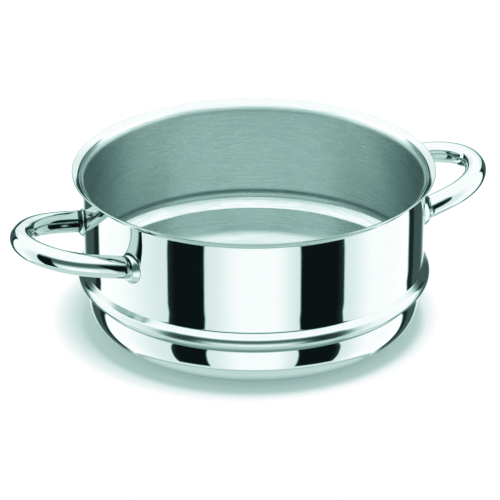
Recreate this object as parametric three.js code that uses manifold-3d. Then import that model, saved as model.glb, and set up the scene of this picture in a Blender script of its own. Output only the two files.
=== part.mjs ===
// A polished stainless pan with a flared lip, a bead low on the wall that seats it in another pot, a narrower lower
// section, and a tubular loop handle on each side, welded on through four tapered round feet.
// Millimetres. +Z up, origin at the centre of the base's underside, handles along -X and +X.
import * as THREE from "three";
import { mergeVertices } from "three/addons/utils/BufferGeometryUtils.js";
import Module from "manifold-3d";

// ---- driving dimensions -------------------------------------------------------------------------------------------
const SHEET = 0.8; // thickness of the drawn sheet
const BASE = 2.8; // thickness of the base
const WALL_R = 100.8; // outer radius of the straight wall: 200 mm inside
const WAIST_R = 100.52; // the wall draws in a little just above the bead
const HEIGHT = 97.7; // base to the top of the lip
const LIP_R = 106.75; // outer edge of the flared lip
// The lip's outside: degrees from upright, and the length of sheet that turns to it.
const LIP_TURN = [
  [0, 0],
  [32, 0.7],
  [43, 3.1],
  [60, 1.3],
  [70, 3.1],
];
const BEAD_R = 104.35; // nose of the bead
const BEAD_Z = 33.2; // height of the nose
const NOSE_TOP = 4.9; // radius of the nose's upper half
const NOSE_LOW = 3.5; // and of its lower half
const SHOULDER = 44; // degrees round the nose to the sloping shoulder
const FLANK = 47; // and to the slope under it
const SKIRT_R = 98.53; // lower wall just under the bead
const SKIRT_Z = 27;
const CORNER_W = 20; // corner between the lower wall and the base, radial
const CORNER_H = 24; // and vertical
const CORNER_EASE = 0.625;
const INNER_TOP = 18; // inside, the base runs into the wall through a quarter of an ellipse: its top
const INNER_W = 20; // and its width
const ROUND = 64; // facets round the pan

const TUBE_OD = 13.0; // handle tube
const TUBE_WALL = 1.0;
const TUBE_SIDES = 16;
const TUBE_STEPS = 34;
const FOOT_LINE = 94.66; // from the pan's axis to the line through the loop's two ends
const FOOT_Z = 66.45; // height of the tube's axis on that line
const RISE = 10.7; // degrees by which the loop tilts up, away from the wall
// Half of the tube's axis in the loop's own plane: distance out from the foot line, distance from the loop's middle.
const LOOP = [
  [-7.0, 35.9],
  [0.0, 35.0],
  [7.0, 34.1],
  [14.0, 33.1],
  [21.0, 31.8],
  [27.5, 29.9],
  [33.0, 27.4],
  [38.0, 24.2],
  [42.3, 20.3],
  [45.9, 15.7],
  [48.6, 10.7],
  [50.2, 5.4],
];
const LOOP_TIP = 50.8;

const FOOT_TURN = 20.6; // degrees round the wall from the handle's middle to each foot
const FOOT_HEIGHT = 65.4; // height of a foot's centre
const COLLAR_R = 8.5; // tapered collar round the tube's end
const COLLAR_EDGE = 0.3; // its upright edge against the wall
const COLLAR_T = 3.2; // from the wall to the collar's outer face; the taper is 45 degrees
const SPIGOT_LENGTH = 9.0;
const SPIGOT_R = TUBE_OD / 2 - TUBE_WALL - 0.3;
const GAP = 0.3; // left between pieces that the weld joins

// ---- materials ----------------------------------------------------------------------------------------------------
const polished = new THREE.MeshStandardMaterial({
  name: "polished_steel",
  color: 0xd5dfdd,
  metalness: 1,
  roughness: 0.06,
});
const satin = new THREE.MeshStandardMaterial({
  name: "pan_steel",
  color: 0xcfdad7,
  metalness: 1,
  roughness: 0.18,
});

// ---- solids -------------------------------------------------------------------------------------------------------
const wasm = await Module();
wasm.setup();

// A closed surface as a solid. Triangles that a profile point on the axis folds to a line are dropped.
function solid(geometry) {
  const g = geometry.clone();
  for (const key of Object.keys(g.attributes))
    if (key !== "position") g.deleteAttribute(key);
  const m = mergeVertices(g, 1e-4);
  const tri = [];
  const i = m.index.array;
  for (let k = 0; k < i.length; k += 3) {
    const [a, b, c] = [i[k], i[k + 1], i[k + 2]];
    if (a !== b && b !== c && c !== a) tri.push(a, b, c);
  }
  return new wasm.Manifold(
    new wasm.Mesh({
      numProp: 3,
      vertProperties: new Float32Array(m.attributes.position.array),
      triVerts: new Uint32Array(tri),
    }),
  );
}

function geometryOf(body) {
  const m = body.getMesh();
  const g = new THREE.BufferGeometry();
  const p = new Float32Array(m.numVert * 3);
  for (let k = 0; k < m.numVert; k++)
    p.set(m.vertProperties.subarray(k * m.numProp, k * m.numProp + 3), k * 3);
  g.setAttribute("position", new THREE.BufferAttribute(p, 3));
  g.setIndex(new THREE.BufferAttribute(new Uint32Array(m.triVerts), 1));
  g.computeVertexNormals();
  return g;
}

function piece(name, body, material) {
  const mesh = new THREE.Mesh(geometryOf(body), material);
  mesh.name = name;
  return mesh;
}

// A profile of [radius, height] points, revolved about +Z.
function revolve(points, sides) {
  const g = new THREE.LatheGeometry(
    points.map(([r, z]) => new THREE.Vector2(r, z)),
    sides,
  );
  return g.rotateX(Math.PI / 2);
}

// ---- pan body -----------------------------------------------------------------------------------------------------
const rad = THREE.MathUtils.degToRad;

// Radius of the lower wall at a height: one easy curve from the flat base to a nearly upright band under the bead.
function skirt(z) {
  const part = Math.max(0, (CORNER_H - z) / CORNER_H);
  const down = 20 - z;
  let lean = 0.0175 * (SKIRT_Z - z);
  if (z <= 20) lean = 0.1225 + 0.0175 * (z > 16 ? down - down ** 2 / 8 : 2);
  const sweep = Math.sqrt(Math.max(0, 1 - part ** (2 / CORNER_EASE)));
  return SKIRT_R - CORNER_W * (1 - sweep) - lean;
}

// Outside of the sheet, from the middle of the base up to the lip's edge.
function outerProfile() {
  const p = [[0, 0]];
  for (const deg of [0, 20, 36, 50, 62, 74]) {
    const z = CORNER_H * (1 - Math.cos(rad(deg)) ** CORNER_EASE);
    p.push([skirt(z), z]);
  }
  p.push([skirt(INNER_TOP), INNER_TOP]);
  // bead: the slope under it, its round nose, its sloping shoulder
  const nose = (radius, deg) => [
    BEAD_R - radius + radius * Math.cos(rad(deg)),
    BEAD_Z + radius * Math.sin(rad(deg)),
  ];
  const low = nose(NOSE_LOW, -FLANK);
  p.push([SKIRT_R, low[1] - (low[0] - SKIRT_R) / Math.tan(rad(FLANK))]);
  p.push(low, nose(NOSE_LOW, -FLANK / 2), nose(NOSE_LOW, 0));
  const high = nose(NOSE_TOP, SHOULDER);
  p.push(nose(NOSE_TOP, SHOULDER / 2), high);
  p.push([WAIST_R, high[1] + (high[0] - WAIST_R) / Math.tan(rad(SHOULDER))]);
  p.push([WALL_R, 50]);
  // lip: a tight bend out of the wall, a flare, and a second bend into a nearly level edge
  const lip = [[0, 0]];
  for (let k = 1; k < LIP_TURN.length; k++) {
    const mean = rad((LIP_TURN[k - 1][0] + LIP_TURN[k][0]) / 2);
    const [r, z] = lip[k - 1];
    const run = LIP_TURN[k][1];
    lip.push([r + run * Math.sin(mean), z + run * Math.cos(mean)]);
  }
  const [reach, rise] = lip[lip.length - 1];
  const end = rad(LIP_TURN[LIP_TURN.length - 1][0]);
  const start = HEIGHT - SHEET * Math.sin(end) - rise; // the outside ends a sheet's thickness below the top
  for (const [r, z] of lip)
    p.push([WALL_R + (r * (LIP_R - WALL_R)) / reach, start + z]);
  return p;
}

// The same line moved in by the sheet's thickness, down to the inner corner, and the top of the thicker base.
function innerProfile(outer) {
  const n = outer.length;
  const sheet = outer.map(([r, z], k) => {
    const a = outer[Math.max(k - 1, 0)];
    const b = outer[Math.min(k + 1, n - 1)];
    const d1 = new THREE.Vector2(r - a[0], z - a[1]);
    const d2 = new THREE.Vector2(b[0] - r, b[1] - z);
    if (k === 0) d1.copy(d2);
    if (k === n - 1) d2.copy(d1);
    d1.normalize();
    d2.normalize();
    const m = d1.clone().add(d2).normalize(); // mean direction, so -m.y, m.x points inwards
    const reach = SHEET / m.dot(d1);
    return [r - m.y * reach, z + m.x * reach];
  });
  const p = [[0, BASE]];
  const top = skirt(INNER_TOP) - SHEET;
  for (const deg of [90, 72, 54, 36, 18, 0])
    p.push([
      top - INNER_W * (1 - Math.cos(rad(deg))),
      INNER_TOP - (INNER_TOP - BASE) * Math.sin(rad(deg)),
    ]);
  return [...p, ...sheet.filter((v, k) => outer[k][1] > INNER_TOP + 1)];
}

const outside = outerProfile();
const inside = innerProfile(outside);
const pan = solid(revolve([...outside, ...inside.reverse()], ROUND));

// ---- handles ------------------------------------------------------------------------------------------------------
const rise = THREE.MathUtils.degToRad(RISE);

// A point of the loop's plane, on the +X side of the pan.
const onLoop = (u, v) =>
  new THREE.Vector3(
    FOOT_LINE + u * Math.cos(rise),
    v,
    FOOT_Z + u * Math.sin(rise),
  );

const loop = new THREE.CatmullRomCurve3(
  [
    ...LOOP.map(([u, v]) => onLoop(u, v)),
    onLoop(LOOP_TIP, 0),
    ...LOOP.slice()
      .reverse()
      .map(([u, v]) => onLoop(u, -v)),
  ],
  false,
  "centripetal",
);

function round(radius, sides) {
  const s = new THREE.Shape();
  for (let k = 0; k < sides; k++) {
    const t = (2 * Math.PI * (k + 0.5)) / sides;
    const x = radius * Math.cos(t);
    const y = radius * Math.sin(t);
    if (k) s.lineTo(x, y);
    else s.moveTo(x, y);
  }
  s.closePath();
  return s;
}

const along = (radius, sides) =>
  solid(
    new THREE.ExtrudeGeometry(round(radius, sides), {
      steps: TUBE_STEPS,
      extrudePath: loop,
      bevelEnabled: false,
    }),
  );

// The same solid, but longer at both ends, for the bore.
const loopLong = new THREE.CatmullRomCurve3(
  [
    onLoop(-9, 35.9 + (2 * 0.9) / 7),
    ...loop.points,
    onLoop(-9, -35.9 - (2 * 0.9) / 7),
  ],
  false,
  "centripetal",
);
const bore = solid(
  new THREE.ExtrudeGeometry(round(TUBE_OD / 2 - TUBE_WALL, 12), {
    steps: TUBE_STEPS,
    extrudePath: loopLong,
    bevelEnabled: false,
  }),
);

// Places a geometry made round +Z, with z = 0 on the wall, at a foot on the +X side.
function atFoot(geometry, side) {
  const turn = THREE.MathUtils.degToRad(FOOT_TURN * side);
  return geometry
    .rotateY(Math.PI / 2)
    .rotateZ(turn)
    .translate(
      WALL_R * Math.cos(turn),
      WALL_R * Math.sin(turn),
      FOOT_HEIGHT,
    );
}

// The tube's ends stop short of the wall and of the collars' tapers.
const taper = COLLAR_R + COLLAR_EDGE - COLLAR_T; // radius of a collar's outer face
let tube = along(TUBE_OD / 2, TUBE_SIDES).subtract(bore);
for (const side of [-1, 1]) {
  const wallSide = new THREE.BoxGeometry(30, 30, 40).translate(0, 0, GAP - 20);
  const collarSide = revolve(
    [
      [0, -20],
      [COLLAR_R + GAP, -20],
      [COLLAR_R + GAP, COLLAR_EDGE + GAP / 2],
      [taper + GAP / 2, COLLAR_T + GAP],
      [0, COLLAR_T + GAP],
    ],
    56,
  );
  tube = tube
    .subtract(solid(atFoot(wallSide, side)))
    .subtract(solid(atFoot(collarSide, side)));
}

// ---- feet ---------------------------------------------------------------------------------------------------------
const wallCut = solid(
  revolve(
    [
      [0, 40],
      [WALL_R + GAP, 40],
      [WALL_R + GAP, 90],
      [0, 90],
    ],
    128,
  ),
);

function foot(side) {
  const collar = solid(
    atFoot(
      revolve(
        [
          [0, -1.6],
          [COLLAR_R, -1.6],
          [COLLAR_R, COLLAR_EDGE],
          [taper, COLLAR_T],
          [0, COLLAR_T],
        ],
        28,
      ),
      side,
    ),
  );
  // the spigot follows the tube's axis where it leaves the foot
  const start = onLoop(0.2, 34.97 * side);
  const way = onLoop(10, 33.68 * side).sub(start).normalize();
  const spigot = new THREE.CylinderGeometry(
    SPIGOT_R,
    SPIGOT_R,
    SPIGOT_LENGTH + 2,
    14,
  )
    .translate(0, (SPIGOT_LENGTH + 2) / 2, 0)
    .applyQuaternion(
      new THREE.Quaternion().setFromUnitVectors(
        new THREE.Vector3(0, 1, 0),
        way,
      ),
    )
    .translate(start.x, start.y, start.z);
  return collar.add(solid(spigot)).subtract(wallCut);
}
const frontFoot = foot(-1);
const rearFoot = foot(1);

// ---- assembly -----------------------------------------------------------------------------------------------------
const part = new THREE.Group();
part.name = "stepped_pan";
part.add(piece("pan_body", pan, satin));

const right = new THREE.Group();
right.name = "right_handle";
right.add(
  piece("right_handle_tube", tube, polished),
  piece("right_front_foot", frontFoot, polished),
  piece("right_rear_foot", rearFoot, polished),
);
part.add(right);

// The left handle is the same assembly, turned half a turn about the pan's axis.
const left = new THREE.Group();
left.name = "left_handle";
left.rotation.z = Math.PI;
left.add(
  piece("left_handle_tube", tube, polished),
  piece("left_rear_foot", frontFoot, polished),
  piece("left_front_foot", rearFoot, polished),
);
part.add(left);

export default part;
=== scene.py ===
"""Looks of a polished stainless pan with a flared lip, a bead low on the wall and two tubular loop handles.
Metres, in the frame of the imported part: +Z up, origin under the middle of the base, handles along -X and +X."""

import math

import bpy
import numpy as np
from mathutils import Matrix, Vector


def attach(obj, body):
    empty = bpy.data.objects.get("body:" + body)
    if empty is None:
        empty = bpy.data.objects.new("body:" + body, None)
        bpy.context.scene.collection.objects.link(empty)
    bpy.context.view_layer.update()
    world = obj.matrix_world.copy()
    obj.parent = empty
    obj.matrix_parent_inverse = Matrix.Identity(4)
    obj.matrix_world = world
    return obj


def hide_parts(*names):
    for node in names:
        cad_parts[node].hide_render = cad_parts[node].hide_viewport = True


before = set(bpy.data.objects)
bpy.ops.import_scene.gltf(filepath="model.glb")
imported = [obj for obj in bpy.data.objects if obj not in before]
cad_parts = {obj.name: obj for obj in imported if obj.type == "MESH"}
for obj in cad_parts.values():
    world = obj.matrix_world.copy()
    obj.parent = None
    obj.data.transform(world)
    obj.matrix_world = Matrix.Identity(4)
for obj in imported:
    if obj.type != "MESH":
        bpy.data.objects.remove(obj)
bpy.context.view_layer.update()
scene = bpy.context.scene

MM = 0.001

# ---------------------------------------------------------------------------------------------------------------------
# dimensions, in millimetres, as in the part
# ---------------------------------------------------------------------------------------------------------------------
SHEET = 0.8
BASE = 2.8  # thickness of the base
WALL_R = 100.8
WAIST_R = 100.52  # the wall draws in a little above the bead
WAIST_TILT = 1.6
HEIGHT = 97.7
LIP_R = 106.75
# the lip's outside: degrees from upright, and how far along the sheet each is reached
LIP_TURN = [(0.0, 0.0), (32.0, 0.7), (43.0, 3.8), (60.0, 5.1), (70.0, 8.2)]
BEAD_R = 104.35
BEAD_Z = 33.2
NOSE_TOP = 4.9
NOSE_LOW = 3.5
SHOULDER = 44.0
FLANK = 47.0
COVE = 1.4
HOLLOW = 0.9
SKIRT_TOP = (98.53, 27.0)
CORNER_IN = 78.4
CORNER_W = 20.0
CORNER_H = 24.0
CORNER_EASE = 0.625

TUBE_OD = 13.0
FOOT_LINE = 94.66
FOOT_Z = 66.45
RISE = math.radians(10.7)
LOOP = [(-7.0, 35.9), (0.0, 35.0), (7.0, 34.1), (14.0, 33.1), (21.0, 31.8), (27.5, 29.9), (33.0, 27.4), (38.0, 24.2),
        (42.3, 20.3), (45.9, 15.7), (48.6, 10.7), (50.2, 5.4)]
LOOP_TIP = 50.8
FOOT_TURN = math.radians(20.6)
FOOT_HEIGHT = 65.4
COLLAR_R = 8.5  # the collar round each end of the tube: on the wall,
COLLAR_EDGE = 0.3  # its upright edge,
COLLAR_T = 3.2  # and its height; it tapers at 45 degrees

TURN = math.radians(24.9)  # how far the handles' line is turned from the picture plane


# ---------------------------------------------------------------------------------------------------------------------
# small helpers
# ---------------------------------------------------------------------------------------------------------------------
def new_mesh(name, verts, faces, materials, face_material=None, smooth=True):
    me = bpy.data.meshes.new(name)
    me.from_pydata([tuple(v) for v in verts], [], [tuple(f) for f in faces])
    for m in materials:
        me.materials.append(m)
    if face_material is not None:
        me.polygons.foreach_set("material_index", np.asarray(face_material, dtype=np.int32))
    me.polygons.foreach_set("use_smooth", np.full(len(me.polygons), smooth, dtype=bool))
    me.update()
    ob = bpy.data.objects.new(name, me)
    scene.collection.objects.link(ob)
    return ob


def fillet(points, radii, step=0.35):
    """A polyline with its inner corners rounded. points are (r, z); radii has one radius for each inner corner."""
    pts = [np.array(p, float) for p in points]
    out = [pts[0]]
    for k in range(1, len(pts) - 1):
        a, b, c = pts[k - 1], pts[k], pts[k + 1]
        d1, d2 = (a - b) / np.linalg.norm(a - b), (c - b) / np.linalg.norm(c - b)
        half = 0.5 * math.acos(max(-1, min(1, float(d1 @ d2))))
        rad = radii[k - 1]
        t = rad / math.tan(half)
        p1, p2 = b + d1 * t, b + d2 * t
        bis = (d1 + d2) / np.linalg.norm(d1 + d2)
        o = b + bis * (rad / math.sin(half))
        a1 = math.atan2(*(p1 - o)[::-1])
        a2 = math.atan2(*(p2 - o)[::-1])
        da = (a2 - a1 + math.pi) % (2 * math.pi) - math.pi
        n = max(4, int(abs(da) * rad / step) + 1)
        for i in range(n + 1):
            t_ = a1 + da * i / n
            out.append(o + rad * np.array([math.cos(t_), math.sin(t_)]))
    out.append(pts[-1])
    return np.array(out)


def thin(points, gap=1e-4):
    keep = [points[0]]
    for p in points[1:]:
        if np.linalg.norm(p - keep[-1]) > gap:
            keep.append(p)
    return np.array(keep)


# ---------------------------------------------------------------------------------------------------------------------
# camera
# ---------------------------------------------------------------------------------------------------------------------
ELEV = math.radians(25.05)
DIST = 1.8
AIM = Vector((0, 0, 0.05))
back = Vector((-math.sin(TURN) * math.cos(ELEV), -math.cos(TURN) * math.cos(ELEV), math.sin(ELEV)))
cam_data = bpy.data.cameras.new("camera")
cam_data.sensor_width = 36.0
cam_data.lens = 3037.2 / 500 * 36.0
cam_data.shift_x = -3.85 / 500
cam_data.shift_y = -9.47 / 500
cam_data.clip_start, cam_data.clip_end = 0.05, 50
cam = bpy.data.objects.new("camera", cam_data)
cam.location = AIM + back * DIST
cam.rotation_mode = "QUATERNION"
cam.rotation_quaternion = (-back).to_track_quat("-Z", "Y")
scene.collection.objects.link(cam)
scene.camera = cam


# ---------------------------------------------------------------------------------------------------------------------
# materials
# ---------------------------------------------------------------------------------------------------------------------
class Nodes:
    """Short calls for building a node tree."""

    def __init__(self, tree):
        self.t = tree
        tree.nodes.clear()

    def add(self, kind, **props):
        n = self.t.nodes.new(kind)
        for k, v in props.items():
            setattr(n, k, v)
        return n

    def link(self, a, b):
        self.t.links.new(a, b)

    def put(self, value, socket):
        if isinstance(value, bpy.types.NodeSocket):
            self.t.links.new(value, socket)
        else:
            socket.default_value = value

    def math(self, op, a, b=None, c=None, clamp=False):
        n = self.add("ShaderNodeMath", operation=op, use_clamp=clamp)
        for i, v in enumerate((a, b, c)):
            if v is not None:
                self.put(v, n.inputs[i])
        return n.outputs[0]

    def band(self, value, lo, hi, out_lo=0.0, out_hi=1.0, smooth=True):
        n = self.add("ShaderNodeMapRange", interpolation_type="SMOOTHSTEP" if smooth else "LINEAR")
        self.put(value, n.inputs[0])
        for i, v in zip((1, 2, 3, 4), (lo, hi, out_lo, out_hi)):
            n.inputs[i].default_value = v
        return n.outputs[0]

    def mix(self, fac, a, b):
        n = self.add("ShaderNodeMix", data_type="RGBA", blend_type="MIX")
        self.put(fac, n.inputs[0])
        self.put(a, n.inputs[6])
        self.put(b, n.inputs[7])
        return n.outputs[2]

    def noise(self, vector, scale, detail=2.0, rough=0.5):
        n = self.add("ShaderNodeTexNoise")
        self.link(vector, n.inputs["Vector"])
        n.inputs["Scale"].default_value = scale
        n.inputs["Detail"].default_value = detail
        n.inputs["Roughness"].default_value = rough
        return n.outputs[0]

    def ramp(self, fac, stops, interp="LINEAR"):
        n = self.add("ShaderNodeValToRGB")
        cr = n.color_ramp
        cr.interpolation = interp
        while len(cr.elements) > 1:
            cr.elements.remove(cr.elements[-1])
        for i, (pos, col) in enumerate(stops):
            e = cr.elements[0] if i == 0 else cr.elements.new(pos)
            e.position = pos
            c = col if isinstance(col, (tuple, list)) else (col, col, col)
            e.color = (*c[:3], 1.0)
        self.link(fac, n.inputs[0])
        return n.outputs[0]


STEEL = (0.64, 0.655, 0.65, 1.0)


def turned_lines(g, k, along=14.0):
    """Coordinates that run fast across the lines left by turning (up the wall, out over the floor) and slowly along them."""
    co = g.add("ShaderNodeTexCoord").outputs["Object"]
    sep = g.add("ShaderNodeSeparateXYZ")
    g.link(co, sep.inputs[0])
    x, y, z = sep.outputs
    r = g.math("SQRT", g.math("ADD", g.math("MULTIPLY", x, x), g.math("MULTIPLY", y, y)))
    across = g.math("MULTIPLY", g.math("ADD", z, r), k)
    comb = g.add("ShaderNodeCombineXYZ")
    g.link(g.math("MULTIPLY", x, along), comb.inputs[0])
    g.link(g.math("MULTIPLY", y, along), comb.inputs[1])
    g.link(across, comb.inputs[2])
    return comb.outputs[0], co


def mirror_steel(name, rough=0.035, body=False, ends=False):
    mat = bpy.data.materials.new(name)
    mat.use_nodes = True
    g = Nodes(mat.node_tree)
    out = g.add("ShaderNodeOutputMaterial")
    bsdf = g.add("ShaderNodeBsdfPrincipled")
    g.link(bsdf.outputs[0], out.inputs[0])
    bsdf.inputs["Metallic"].default_value = 1.0
    lines, co = turned_lines(g, 900.0)
    buff = g.noise(lines, 1.0, 3.0, 0.6)  # traces of the buffing wheel
    haze = g.noise(co, 38.0, 3.0, 0.55)  # cloudy handling haze
    tone = g.math("ADD", g.math("MULTIPLY", buff, 0.5), g.math("MULTIPLY", haze, 0.5))
    colour = g.mix(tone, (0.655, 0.668, 0.664, 1), (0.69, 0.70, 0.697, 1))
    gloss = g.band(tone, 0.3, 0.75, rough * 0.6, rough * 1.7)
    if body:
        # painted shade: the hollow under the bead is painted nearly black; the finish is softer over the bead's nose
        # and shoulder, and round the lip's edge the colour is darker and the finish rougher
        sep = g.add("ShaderNodeSeparateXYZ")
        g.link(co, sep.inputs[0])
        x, y, z = sep.outputs
        r = g.math("SQRT", g.math("ADD", g.math("MULTIPLY", x, x), g.math("MULTIPLY", y, y)))
        # painted shade: the hollow under the bead is painted nearly black
        hollow = g.math("MULTIPLY", g.band(z, 0.0254, 0.0264), g.band(z, 0.0300, 0.0280))
        hollow = g.math("MULTIPLY", hollow, g.band(r, 0.0, 0.05))
        # the colour is darker and the finish rougher round the lip's edge
        edge = g.band(r, 0.1054, 0.1064)
        bend = g.math("MULTIPLY", g.band(z, 0.0364, 0.0371), g.band(z, 0.0398, 0.0390))
        nose = g.math("MULTIPLY", g.band(z, 0.0310, 0.0326), g.band(z, 0.0364, 0.0352))
        colour = g.mix(g.math("MULTIPLY", hollow, 0.62), colour, (0.02, 0.028, 0.026, 1))
        colour = g.mix(g.math("MULTIPLY", edge, 0.3), colour, (0.42, 0.44, 0.435, 1))
        gloss = g.math("ADD", gloss, g.math("ADD", g.math("MULTIPLY", hollow, 0.12), g.math("MULTIPLY", edge, 0.1)))
        gloss = g.math("ADD", gloss, g.math("ADD", g.math("MULTIPLY", bend, 0.15), g.math("MULTIPLY", nose, 0.19)))
    if ends:
        # painted shade: the tube's end next to the collar is painted nearly black, for the shaded gap between tube and
        # collar
        sep = g.add("ShaderNodeSeparateXYZ")
        g.link(co, sep.inputs[0])
        x, y, _ = sep.outputs
        r = g.math("SQRT", g.math("ADD", g.math("MULTIPLY", x, x), g.math("MULTIPLY", y, y)))
        # painted shade: nearly black at the tube's end by the collar
        end_gap_shade = g.band(r, 0.1042, 0.1038)
        colour = g.mix(g.math("MULTIPLY", end_gap_shade, 0.94), colour, (0.012, 0.018, 0.017, 1))
        gloss = g.math("ADD", gloss, g.math("MULTIPLY", end_gap_shade, 0.2))
    g.link(colour, bsdf.inputs["Base Color"])
    g.link(gloss, bsdf.inputs["Roughness"])
    bump = g.add("ShaderNodeBump")
    bump.inputs["Strength"].default_value = 0.012
    bump.inputs["Distance"].default_value = 0.0002
    g.link(buff, bump.inputs["Height"])
    g.link(bump.outputs[0], bsdf.inputs["Normal"])
    return mat


def satin_steel(name):
    mat = bpy.data.materials.new(name)
    mat.use_nodes = True
    g = Nodes(mat.node_tree)
    out = g.add("ShaderNodeOutputMaterial")
    bsdf = g.add("ShaderNodeBsdfPrincipled")
    g.link(bsdf.outputs[0], out.inputs[0])
    bsdf.inputs["Metallic"].default_value = 1.0
    bsdf.inputs["Anisotropic"].default_value = 0.7
    bsdf.inputs["Anisotropic Rotation"].default_value = 0.25  # the turned lines spread a reflection up and down
    tan = g.add("ShaderNodeTangent", direction_type="RADIAL", axis="Z")
    g.link(tan.outputs[0], bsdf.inputs["Tangent"])
    lines, co = turned_lines(g, 1600.0, 80.0)
    fine = g.noise(lines, 1.0, 1.0, 0.4)
    broad = g.noise(turned_lines(g, 520.0, 90.0)[0], 1.0, 1.0, 0.4)
    cloud = g.noise(co, 22.0, 3.0, 0.5)
    tone = g.math("ADD", g.math("MULTIPLY", fine, 0.5), g.math("ADD", g.math("MULTIPLY", broad, 0.3), g.math("MULTIPLY", cloud, 0.2)))
    sep = g.add("ShaderNodeSeparateXYZ")
    g.link(co, sep.inputs[0])
    z = sep.outputs[2]
    # painted shade: the tight bend over the bead's groove is painted darker; the finish turns coarser under the lip and
    # over the floor's corner
    # painted shade along the bend over the bead's groove
    groove_shade = g.math("MULTIPLY", g.band(z, 0.0340, 0.0372), g.band(z, 0.0406, 0.0386))
    coarse = g.math("MULTIPLY", g.band(z, 0.0905, 0.0917), g.band(z, 0.0945, 0.0930))
    colour = g.mix(g.band(tone, 0.3, 0.7), (0.70, 0.72, 0.715, 1), (0.77, 0.785, 0.78, 1))
    g.link(g.mix(g.math("MULTIPLY", groove_shade, 0.52), colour, (0.02, 0.026, 0.025, 1)), bsdf.inputs["Base Color"])
    gloss = g.math("ADD", g.band(tone, 0.3, 0.7, 0.305, 0.255), g.math("MULTIPLY", coarse, 0.25))
    g.link(g.math("ADD", gloss, g.band(z, 0.016, 0.006, 0.0, 0.07)), bsdf.inputs["Roughness"])
    bump = g.add("ShaderNodeBump")
    bump.inputs["Strength"].default_value = 0.015
    bump.inputs["Distance"].default_value = 0.0002
    g.link(fine, bump.inputs["Height"])
    g.link(bump.outputs[0], bsdf.inputs["Normal"])
    return mat


outer_polish = mirror_steel("outer_polish", 0.035, True)
lip_polish = mirror_steel("lip_polish", 0.07, True)
inner_satin = satin_steel("inner_satin")
handle_polish = mirror_steel("handle_polish", 0.04, ends=True)
foot_polish = mirror_steel("foot_polish", 0.17)


# ---------------------------------------------------------------------------------------------------------------------
# pan body
# ---------------------------------------------------------------------------------------------------------------------
def skirt_point(z):
    """Radius of the skirt: one easy curve from the flat base up to a nearly upright band under the bead."""
    part = max(0.0, (CORNER_H - z) / CORNER_H)
    lean = 0.0175 * (SKIRT_TOP[1] - z) if z > 20 else 0.1225 + 0.0175 * ((20 - z) - (20 - z) ** 2 / 8 if z > 16 else 2.0)
    return SKIRT_TOP[0] - CORNER_W * (1 - math.sqrt(max(0.0, 1 - part ** (2 / CORNER_EASE)))) - lean


def bead_profile():
    """The bead from the skirt to the wall: a hollow, a round nose, a sloping shoulder and a tight bend into the wall."""
    nose, flank, tilt = math.radians(SHOULDER), math.radians(FLANK), math.radians(WAIST_TILT)
    low = (BEAD_R - NOSE_LOW, BEAD_Z)
    top = (BEAD_R - NOSE_TOP, BEAD_Z)
    arc = [(low[0] + NOSE_LOW * math.cos(t), low[1] + NOSE_LOW * math.sin(t)) for t in np.linspace(-flank, 0, 25)]
    arc += [(top[0] + NOSE_TOP * math.cos(t), top[1] + NOSE_TOP * math.sin(t)) for t in np.linspace(0, nose, 21)[1:]]
    foot = arc[-1]
    rise = (foot[0] - WAIST_R) / math.sin(nose)
    crest = (WAIST_R, foot[1] + rise * math.cos(nose))
    wall = (WAIST_R + (46.0 - crest[1]) * math.tan(tilt), 46.0)
    shoulder = fillet([foot, crest, wall], [COVE], 0.12)
    # under the nose the sheet slopes in and turns down into the skirt
    start = arc[0]
    turn = (SKIRT_TOP[0], start[1] - (start[0] - SKIRT_TOP[0]) / math.tan(flank))
    hollow = fillet([(skirt_point(24.0), 24.0), turn, start], [HOLLOW], 0.12)
    return np.array([*hollow[:-1], *arc, *shoulder[1:]])


def pan_profile():
    """(r, z) of the outside of the sheet, from the middle of the base to the lip, with the lip's end direction and tip."""
    base = [(r, 0.0) for r in (0.0, 25.0, 50.0, 66.0, 74.0)]
    rise = [CORNER_H * (1 - math.cos(t) ** CORNER_EASE) for t in np.linspace(0, math.radians(83), 47)]
    rise += list(np.linspace(rise[-1], 24.0, 10)[1:-1])
    corner = [(skirt_point(z), z) for z in rise]
    bead = bead_profile()
    # the wall: from the drawn-in waist to the full radius, then straight up
    r0, z0 = bead[-1]
    wall = [(r0 + (WALL_R - r0) * (1 - ((52.0 - z) / (52.0 - z0)) ** 2), z) for z in np.linspace(z0, 52.0, 9)[1:]]
    # the lip: a tight bend out of the wall, a flare, and a second bend into a nearly level edge
    r_edge = 0.4
    end = math.radians(LIP_TURN[-1][0])
    run = np.linspace(0, LIP_TURN[-1][1], 401)
    turn = np.radians(np.interp(run, [t[1] for t in LIP_TURN], [t[0] for t in LIP_TURN]))
    step = run[1]
    rr = np.r_[0, np.cumsum((np.sin(turn[1:]) + np.sin(turn[:-1])) / 2 * step)]
    zz = np.r_[0, np.cumsum((np.cos(turn[1:]) + np.cos(turn[:-1])) / 2 * step)]
    rr *= (LIP_R - WALL_R) / rr[-1]
    lip_z = HEIGHT - SHEET * math.sin(end) - zz[-1]
    tip = np.array([LIP_R, lip_z + zz[-1]])
    u = np.array([math.sin(end), math.cos(end)])  # along the end of the flare
    wall += [(WALL_R, z) for z in np.linspace(52.0, lip_z, 8)[1:]]
    at = [*np.linspace(0, 0.7, 11)[1:], *np.linspace(0.7, run[-1] - r_edge, 34)[1:]]
    lip = [(WALL_R + np.interp(q, run, rr), lip_z + np.interp(q, run, zz)) for q in at]
    outer = thin(np.array([*base, *corner, *bead, *wall, *lip], float))
    return outer, u, tip, r_edge


def normals_in(p):
    d = np.gradient(p, axis=0)
    d /= np.linalg.norm(d, axis=1)[:, None]
    return np.stack([-d[:, 1], d[:, 0]], -1)


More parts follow.
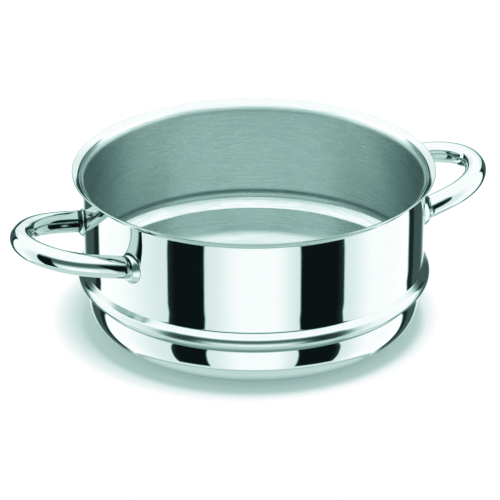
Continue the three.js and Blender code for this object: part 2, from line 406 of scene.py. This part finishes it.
def lathe(name, profile, face_slot, materials, sides):
    """A closed solid of revolution. profile runs from the axis to the axis; face_slot is the material of each of its spans."""
    n = len(profile)
    t = np.linspace(0, 2 * math.pi, sides, endpoint=False)
    c, s = np.cos(t), np.sin(t)
    verts = [(0, 0, profile[0][1] * MM)]
    for r, z in profile[1:-1]:
        verts += [(r * MM * a, r * MM * b, z * MM) for a, b in zip(c, s)]
    verts.append((0, 0, profile[-1][1] * MM))
    faces, slots = [], []
    ring = lambda k, j: 1 + (k - 1) * sides + j % sides
    last = len(verts) - 1
    for j in range(sides):
        faces.append((0, ring(1, j + 1), ring(1, j)))
        slots.append(face_slot[0])
        for k in range(1, n - 2):
            faces.append((ring(k, j), ring(k, j + 1), ring(k + 1, j + 1), ring(k + 1, j)))
            slots.append(face_slot[k])
        faces.append((ring(n - 2, j), ring(n - 2, j + 1), last))
        slots.append(face_slot[n - 2])
    return new_mesh(name, verts, faces, materials, slots)


outer, up_lip, lip_tip, r_edge = pan_profile()
inner = outer + normals_in(outer) * SHEET
# inside, the thicker base runs into the wall through a quarter of an ellipse
IN_TOP = 18.0
IN_W = 20.0
inner = [p for p in inner if p[1] > IN_TOP + 0.3 and p[0] > 90]
in_r = skirt_point(IN_TOP) - SHEET
dish = [(in_r - IN_W * (1 - math.cos(t)), IN_TOP - (IN_TOP - BASE) * math.sin(t)) for t in np.linspace(0, math.pi / 2, 41)]
dish += [(r, BASE) for r in (70.0, 50.0, 25.0, 0.0)]
inner = np.array([*dish[::-1], *inner])
# the lip's edge is rounded over
across = np.array([-up_lip[1], up_lip[0]])
mid = lip_tip - up_lip * r_edge + across * SHEET / 2
edge = []
for a in np.linspace(-90, 90, 11):
    a = math.radians(a)
    edge.append(mid + up_lip * r_edge * math.cos(a) + across * SHEET / 2 * math.sin(a))
profile = thin(np.vstack([outer, edge[1:-1], inner[::-1]]))
profile[-1][0] = 0.0
LIP_IN = 95.3  # the polish of the lip ends here
mids = (profile[:-1] + profile[1:]) / 2
top = int(np.argmax(profile[:, 1]))
slots = []
for k, (r, z) in enumerate(mids):
    if k < top:
        slots.append(0)
    elif z > LIP_IN:
        slots.append(1)
    else:
        slots.append(2)
pan = lathe("pan", profile, slots, [outer_polish, lip_polish, inner_satin], 256)
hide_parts("pan_body")
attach(pan, "root")


# ---------------------------------------------------------------------------------------------------------------------
# handles
# ---------------------------------------------------------------------------------------------------------------------
def spline(points, n):
    """A natural cubic through the points, by chord length, sampled n times evenly along it."""
    p = np.array(points, float)
    d = np.r_[0, np.cumsum(np.linalg.norm(np.diff(p, axis=0), axis=1))]
    m = len(p)
    h = np.diff(d)
    a = np.zeros((m, m))
    b = np.zeros((m, p.shape[1]))
    a[0, 0] = a[-1, -1] = 1
    for i in range(1, m - 1):
        a[i, i - 1], a[i, i], a[i, i + 1] = h[i - 1], 2 * (h[i - 1] + h[i]), h[i]
        b[i] = 6 * ((p[i + 1] - p[i]) / h[i] - (p[i] - p[i - 1]) / h[i - 1])
    c = np.linalg.solve(a, b)

    def at(t):
        i = np.clip(np.searchsorted(d, t, side="right") - 1, 0, m - 2)
        x0, x1, hh = (t - d[i])[:, None], (d[i + 1] - t)[:, None], h[i][:, None]
        return (c[i] * x1**3 + c[i + 1] * x0**3) / (6 * hh) + (p[i] / hh - c[i] * hh / 6) * x1 + (p[i + 1] / hh - c[i + 1] * hh / 6) * x0

    fine = at(np.linspace(0, d[-1], 40 * m))
    s = np.r_[0, np.cumsum(np.linalg.norm(np.diff(fine, axis=0), axis=1))]
    even = np.linspace(0, s[-1], n)
    return np.stack([np.interp(even, s, fine[:, k]) for k in range(p.shape[1])], -1)


def on_loop(u, v):
    return np.array([FOOT_LINE + u * math.cos(RISE), v, FOOT_Z + u * math.sin(RISE)])


def loop_line(n=181):
    pts = [on_loop(u, v) for u, v in LOOP] + [on_loop(LOOP_TIP, 0)] + [on_loop(u, -v) for u, v in reversed(LOOP)]
    return spline(pts, n)


def collar_height(p, side):
    """How far p, on the +X side, lies outside the wall, less the collar's height there."""
    beta = FOOT_TURN * side
    ang = math.atan2(p[1], p[0]) - beta
    rho = math.hypot(ang * WALL_R, p[2] - FOOT_HEIGHT)
    tall = min(COLLAR_T, max(0.0, COLLAR_R + COLLAR_EDGE - rho)) if rho < COLLAR_R else 0.0
    return math.hypot(p[0], p[1]) - WALL_R - tall


def down_to_collar(p, d, side):
    """Moves p along d, towards the wall, until it lies 0.05 mm inside the collar's face."""
    lo, hi = 0.0, 14.0
    for _ in range(40):
        mid = (lo + hi) / 2
        if collar_height(p + d * mid, side) > -0.05:
            lo = mid
        else:
            hi = mid
    return p + d * lo


def tube_mesh(name, turn):
    line = loop_line()
    up = np.array([-math.sin(RISE), 0, math.cos(RISE)])  # normal of the loop's plane
    tang = np.gradient(line, axis=0)
    tang /= np.linalg.norm(tang, axis=1)[:, None]
    sides = 64
    rings = []
    for p, d in zip(line, tang):
        side = np.cross(d, up)
        rings.append([p + TUBE_OD / 2 * (math.cos(t) * side + math.sin(t) * up)
                      for t in np.linspace(0, 2 * math.pi, sides, endpoint=False)])
    rings = np.array(rings)
    # each end is cut to the collar's taper: the last ring clear of it is carried on along the tube until it meets it
    lo = next(i for i in range(len(rings)) if np.hypot(rings[i][:, 0], rings[i][:, 1]).min() > WALL_R + COLLAR_T + 0.3)
    hi = len(rings) - 1 - lo
    first = np.array([down_to_collar(q, -tang[lo], 1) for q in rings[lo]])
    final = np.array([down_to_collar(q, tang[hi], -1) for q in rings[hi]])
    half = (first + rings[lo]) / 2
    half_end = (final + rings[hi]) / 2
    rings = np.concatenate([[first], [half], rings[lo : hi + 1], [half_end], [final]])
    ct, st = math.cos(turn), math.sin(turn)
    verts = [((x * ct - y * st) * MM, (x * st + y * ct) * MM, z * MM) for ring in rings for x, y, z in ring]
    faces = []
    m = len(rings)
    for k in range(m - 1):
        for j in range(sides):
            a, b = k * sides + j, k * sides + (j + 1) % sides
            faces.append((a, b, b + sides, a + sides))
    # the ends are closed by fans round their middles
    for ring, order in ((0, -1), (m - 1, 1)):
        verts.append(tuple(np.mean(verts[ring * sides : ring * sides + sides], axis=0)))
        c = len(verts) - 1
        for j in range(sides):
            a, b = ring * sides + j, ring * sides + (j + 1) % sides
            faces.append((c, a, b) if order > 0 else (c, b, a))
    ob = new_mesh(name, verts, faces, [handle_polish])
    flat = np.ones(len(faces), dtype=bool)
    flat[-2 * sides :] = False
    ob.data.polygons.foreach_set("use_smooth", flat)
    return ob


def foot_mesh(name, side, turn):
    """A tapered round collar that follows the wall, with its edges just broken."""
    sides = 96
    top = COLLAR_R + COLLAR_EDGE - COLLAR_T
    # distance from the collar's middle, height over the wall
    prof = [(0.0, -0.1), (COLLAR_R - 0.3, -0.1), (COLLAR_R - 0.06, -0.06), (COLLAR_R, 0.02), (COLLAR_R, COLLAR_EDGE - 0.1),
            (COLLAR_R - 0.05, COLLAR_EDGE + 0.02), (COLLAR_R - 0.14, COLLAR_EDGE + 0.12), (COLLAR_R - 0.3, COLLAR_EDGE + 0.3)]
    prof += [(COLLAR_R + COLLAR_EDGE - h, h) for h in np.linspace(COLLAR_EDGE + 0.5, COLLAR_T - 0.25, 9)]
    prof += [(top + 0.1, COLLAR_T - 0.12), (top - 0.1, COLLAR_T - 0.03), (top - 0.3, COLLAR_T), (top - 1.5, COLLAR_T), (0.0, COLLAR_T)]
    verts, faces = [], []
    beta = FOOT_TURN * side + turn

    def place(rho, th, h):
        a = beta + rho * math.cos(th) / WALL_R
        rr = WALL_R + h
        return (rr * math.cos(a) * MM, rr * math.sin(a) * MM, (FOOT_HEIGHT + rho * math.sin(th)) * MM)

    verts.append(place(0.0, 0, prof[0][1]))
    for rho, h in prof[1:-1]:
        verts += [place(rho, 2 * math.pi * j / sides, h) for j in range(sides)]
    verts.append(place(0.0, 0, prof[-1][1]))
    ring = lambda k, j: 1 + (k - 1) * sides + j % sides
    n = len(prof)
    for j in range(sides):
        faces.append((0, ring(1, j), ring(1, j + 1)))
        for k in range(1, n - 2):
            faces.append((ring(k, j), ring(k + 1, j), ring(k + 1, j + 1), ring(k, j + 1)))
        faces.append((ring(n - 2, j), len(verts) - 1, ring(n - 2, j + 1)))
    return new_mesh(name, verts, faces, [foot_polish])


for word, turn in (("right", 0.0), ("left", math.pi)):
    tube = tube_mesh(word + "_tube", turn)
    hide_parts(word + "_handle_tube")
    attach(tube, "root")
    tube.visible_shadow = False  # light from all round washes the handles' own shadows out
    for side in (-1, 1):
        which = "front" if (side < 0) == (word == "right") else "rear"
        foot = foot_mesh(f"{word}_{which}_flange", side, turn)
        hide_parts(f"{word}_{which}_foot")
        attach(foot, "root")
        foot.visible_shadow = False


# ---------------------------------------------------------------------------------------------------------------------
# floor
# ---------------------------------------------------------------------------------------------------------------------
def floor_material(fade_from=None, fade_to=None):
    """Pale matt floor with a little light coming through it. It is clear from below, and can fade out with distance."""
    mat = bpy.data.materials.new("floor_pale")
    mat.use_nodes = True
    g = Nodes(mat.node_tree)
    out = g.add("ShaderNodeOutputMaterial")
    bsdf = g.add("ShaderNodeBsdfPrincipled")
    bsdf.inputs["Base Color"].default_value = (0.29, 0.29, 0.29, 1)
    bsdf.inputs["Roughness"].default_value = 0.9
    bsdf.inputs["Specular IOR Level"].default_value = 0.1
    bsdf.inputs["Emission Color"].default_value = (1, 1, 1, 1)
    bsdf.inputs["Emission Strength"].default_value = 0.39
    clear = g.add("ShaderNodeBsdfTransparent")
    mixer = g.add("ShaderNodeMixShader")
    hide = g.add("ShaderNodeNewGeometry").outputs["Backfacing"]
    if fade_from is not None:
        sep = g.add("ShaderNodeSeparateXYZ")
        g.link(g.add("ShaderNodeTexCoord").outputs["Object"], sep.inputs[0])
        x, y, _ = sep.outputs
        far = g.math("SQRT", g.math("ADD", g.math("MULTIPLY", x, x), g.math("MULTIPLY", y, y)))
        hide = g.math("MAXIMUM", hide, g.band(far, fade_from, fade_to))
    g.link(hide, mixer.inputs[0])
    g.link(bsdf.outputs[0], mixer.inputs[1])
    g.link(clear.outputs[0], mixer.inputs[2])
    g.link(mixer.outputs[0], out.inputs[0])
    return mat


floor = new_mesh("floor", [(-6, -6, -0.0002), (6, -6, -0.0002), (6, 6, -0.0002), (-6, 6, -0.0002)], [(0, 1, 2, 3)], [floor_material()], smooth=False)
floor.visible_glossy = False  # the polished wall mirrors the studio round it, painted in the world below

# the floor under the rounded corner, as the polish mirrors it
disc = []
for radius in (0.0, 0.03, 0.06, 0.075, 0.085, 0.092, 0.096, 0.100):
    disc += [(radius * math.cos(t), radius * math.sin(t), -0.0001) for t in np.linspace(0, 2 * math.pi, 96, endpoint=False)]
disc_faces = [(k * 96 + j, k * 96 + 96 + j, k * 96 + 96 + (j + 1) % 96, k * 96 + (j + 1) % 96) for k in range(7) for j in range(96)]
near_floor = new_mesh("near_floor", disc, disc_faces, [floor_material(0.088, 0.100)], smooth=False)
near_floor.visible_camera = near_floor.visible_diffuse = near_floor.visible_shadow = near_floor.visible_transmission = False

# ---------------------------------------------------------------------------------------------------------------------
# studio: a white tent with dark upright flags, open on the side of the camera, and a soft light overhead
# ---------------------------------------------------------------------------------------------------------------------
world = bpy.data.worlds.new("studio")
scene.world = world
world.use_nodes = True
g = Nodes(world.node_tree)
wout = g.add("ShaderNodeOutputWorld")
bg = g.add("ShaderNodeBackground")
g.link(bg.outputs[0], wout.inputs[0])
co = g.add("ShaderNodeTexCoord").outputs["Generated"]
rot = g.add("ShaderNodeVectorRotate", rotation_type="Z_AXIS")
g.link(co, rot.inputs["Vector"])
rot.inputs["Angle"].default_value = TURN
sep = g.add("ShaderNodeSeparateXYZ")
g.link(rot.outputs[0], sep.inputs[0])
X, Y, Z = sep.outputs
azim = g.math("MULTIPLY", g.math("ARCTAN2", X, g.math("MULTIPLY", Y, -1.0)), 180 / math.pi)  # 0 at the camera, + right
elev = g.math("MULTIPLY", g.math("ARCSINE", Z), 180 / math.pi)
side = g.math("ABSOLUTE", azim)


def times(*values):
    out = values[0]
    for v in values[1:]:
        out = g.math("MULTIPLY", out, v)
    return out


def most(*values):
    out = values[0]
    for v in values[1:]:
        out = g.math("MAXIMUM", out, v)
    return out


def window(value, a, b, c, d):
    """0 below a, 1 between b and c, 0 above d."""
    return times(g.band(value, a, b), g.band(value, d, c))


front_reach = window(elev, -45, -42, 24, 46)
back_lean = g.math("ADD", elev, g.math("MULTIPLY", g.math("SUBTRACT", side, 156.0), 0.6))  # the back flags' tops slope
back_reach = times(g.band(elev, -50, -44), g.band(back_lean, 13, 9))
left_flag = times(window(azim, -60.6, -59.0, -33.8, -32.2), front_reach, g.band(azim, -60, -54, 0.975, 0.993))
right_flag = times(window(azim, 30.2, 32.0, 62.2, 63.8), front_reach, g.band(azim, 64, 57, 0.965, 0.993))
back_flags = times(window(side, 126.0, 128.8, 152.5, 170.0), back_reach, g.band(side, 134, 138, 0.98, 0.92))
opening = times(window(azim, -58, -46, 50, 64), window(elev, -24, 6, 30, 48), 0.88)
far_line = times(g.band(side, 138, 150), window(elev, -8, 0, 9, 12), 0.96)
rear = times(g.band(side, 128, 148), window(elev, 4, 10, 22, 34), 0.14)
backdrop = times(g.band(side, 150, 172), window(elev, -46, -40, -8, 6), 0.22)
spill = times(most(window(azim, -105, -61, -32, -8), window(azim, 14, 31, 63, 88)), window(elev, -60, -50, 20, 40), 0.17)
table = times(g.band(elev, -47.5, -49.0), 0.31)
table_edge = times(window(elev, -54, -51.5, -50, -48), 0.5)
dark = most(left_flag, right_flag, back_flags, opening, far_line, rear, backdrop, spill, table, table_edge)
level = g.math("SUBTRACT", 1.0, dark)
seen = g.add("ShaderNodeLightPath").outputs["Is Camera Ray"]
comb = g.add("ShaderNodeCombineColor")
for i in range(3):
    g.link(level, comb.inputs[i])
g.link(g.mix(seen, comb.outputs[0], (1, 1, 1, 1)), bg.inputs["Color"])
bg.inputs["Strength"].default_value = 1.43

# a soft light overhead, a little to the right, for the floor; it stays out of sight in the polish
soft_data = bpy.data.lights.new("overhead", "SUN")
soft_data.angle = math.radians(17)
soft_data.energy = 4.4
soft = bpy.data.objects.new("overhead", soft_data)
soft.location = (0, 0, 1)
soft.rotation_mode = "QUATERNION"
soft.rotation_quaternion = (Matrix.Rotation(-TURN, 3, "Z") @ Vector((0.06, -0.09, 1.0))).to_track_quat("Z", "Y")
soft.visible_glossy = False
scene.collection.objects.link(soft)

# ---------------------------------------------------------------------------------------------------------------------
# colour response: whites stay neutral, middle tones lean to a cool green
# ---------------------------------------------------------------------------------------------------------------------
scene.view_settings.view_transform = "Standard"
scene.view_settings.look = "None"
scene.view_settings.use_curve_mapping = True
response = scene.view_settings.curve_mapping
response.extend = "HORIZONTAL"
red = ((0.02, 0.0095), (0.06, 0.031), (0.1, 0.053), (0.16, 0.086), (0.28, 0.175), (0.42, 0.275), (0.58, 0.42), (0.7, 0.55), (0.82, 0.70), (0.92, 0.85))
blue = ((0.06, 0.056), (0.16, 0.150), (0.42, 0.395), (0.7, 0.675))
for channel, points in ((0, red), (2, blue)):
    line = response.curves[channel]
    line.points[0].location = (0.0, 0.0)
    line.points[1].location = (1.0, 1.0)
    for point in points:
        line.points.new(*point)
response.update()
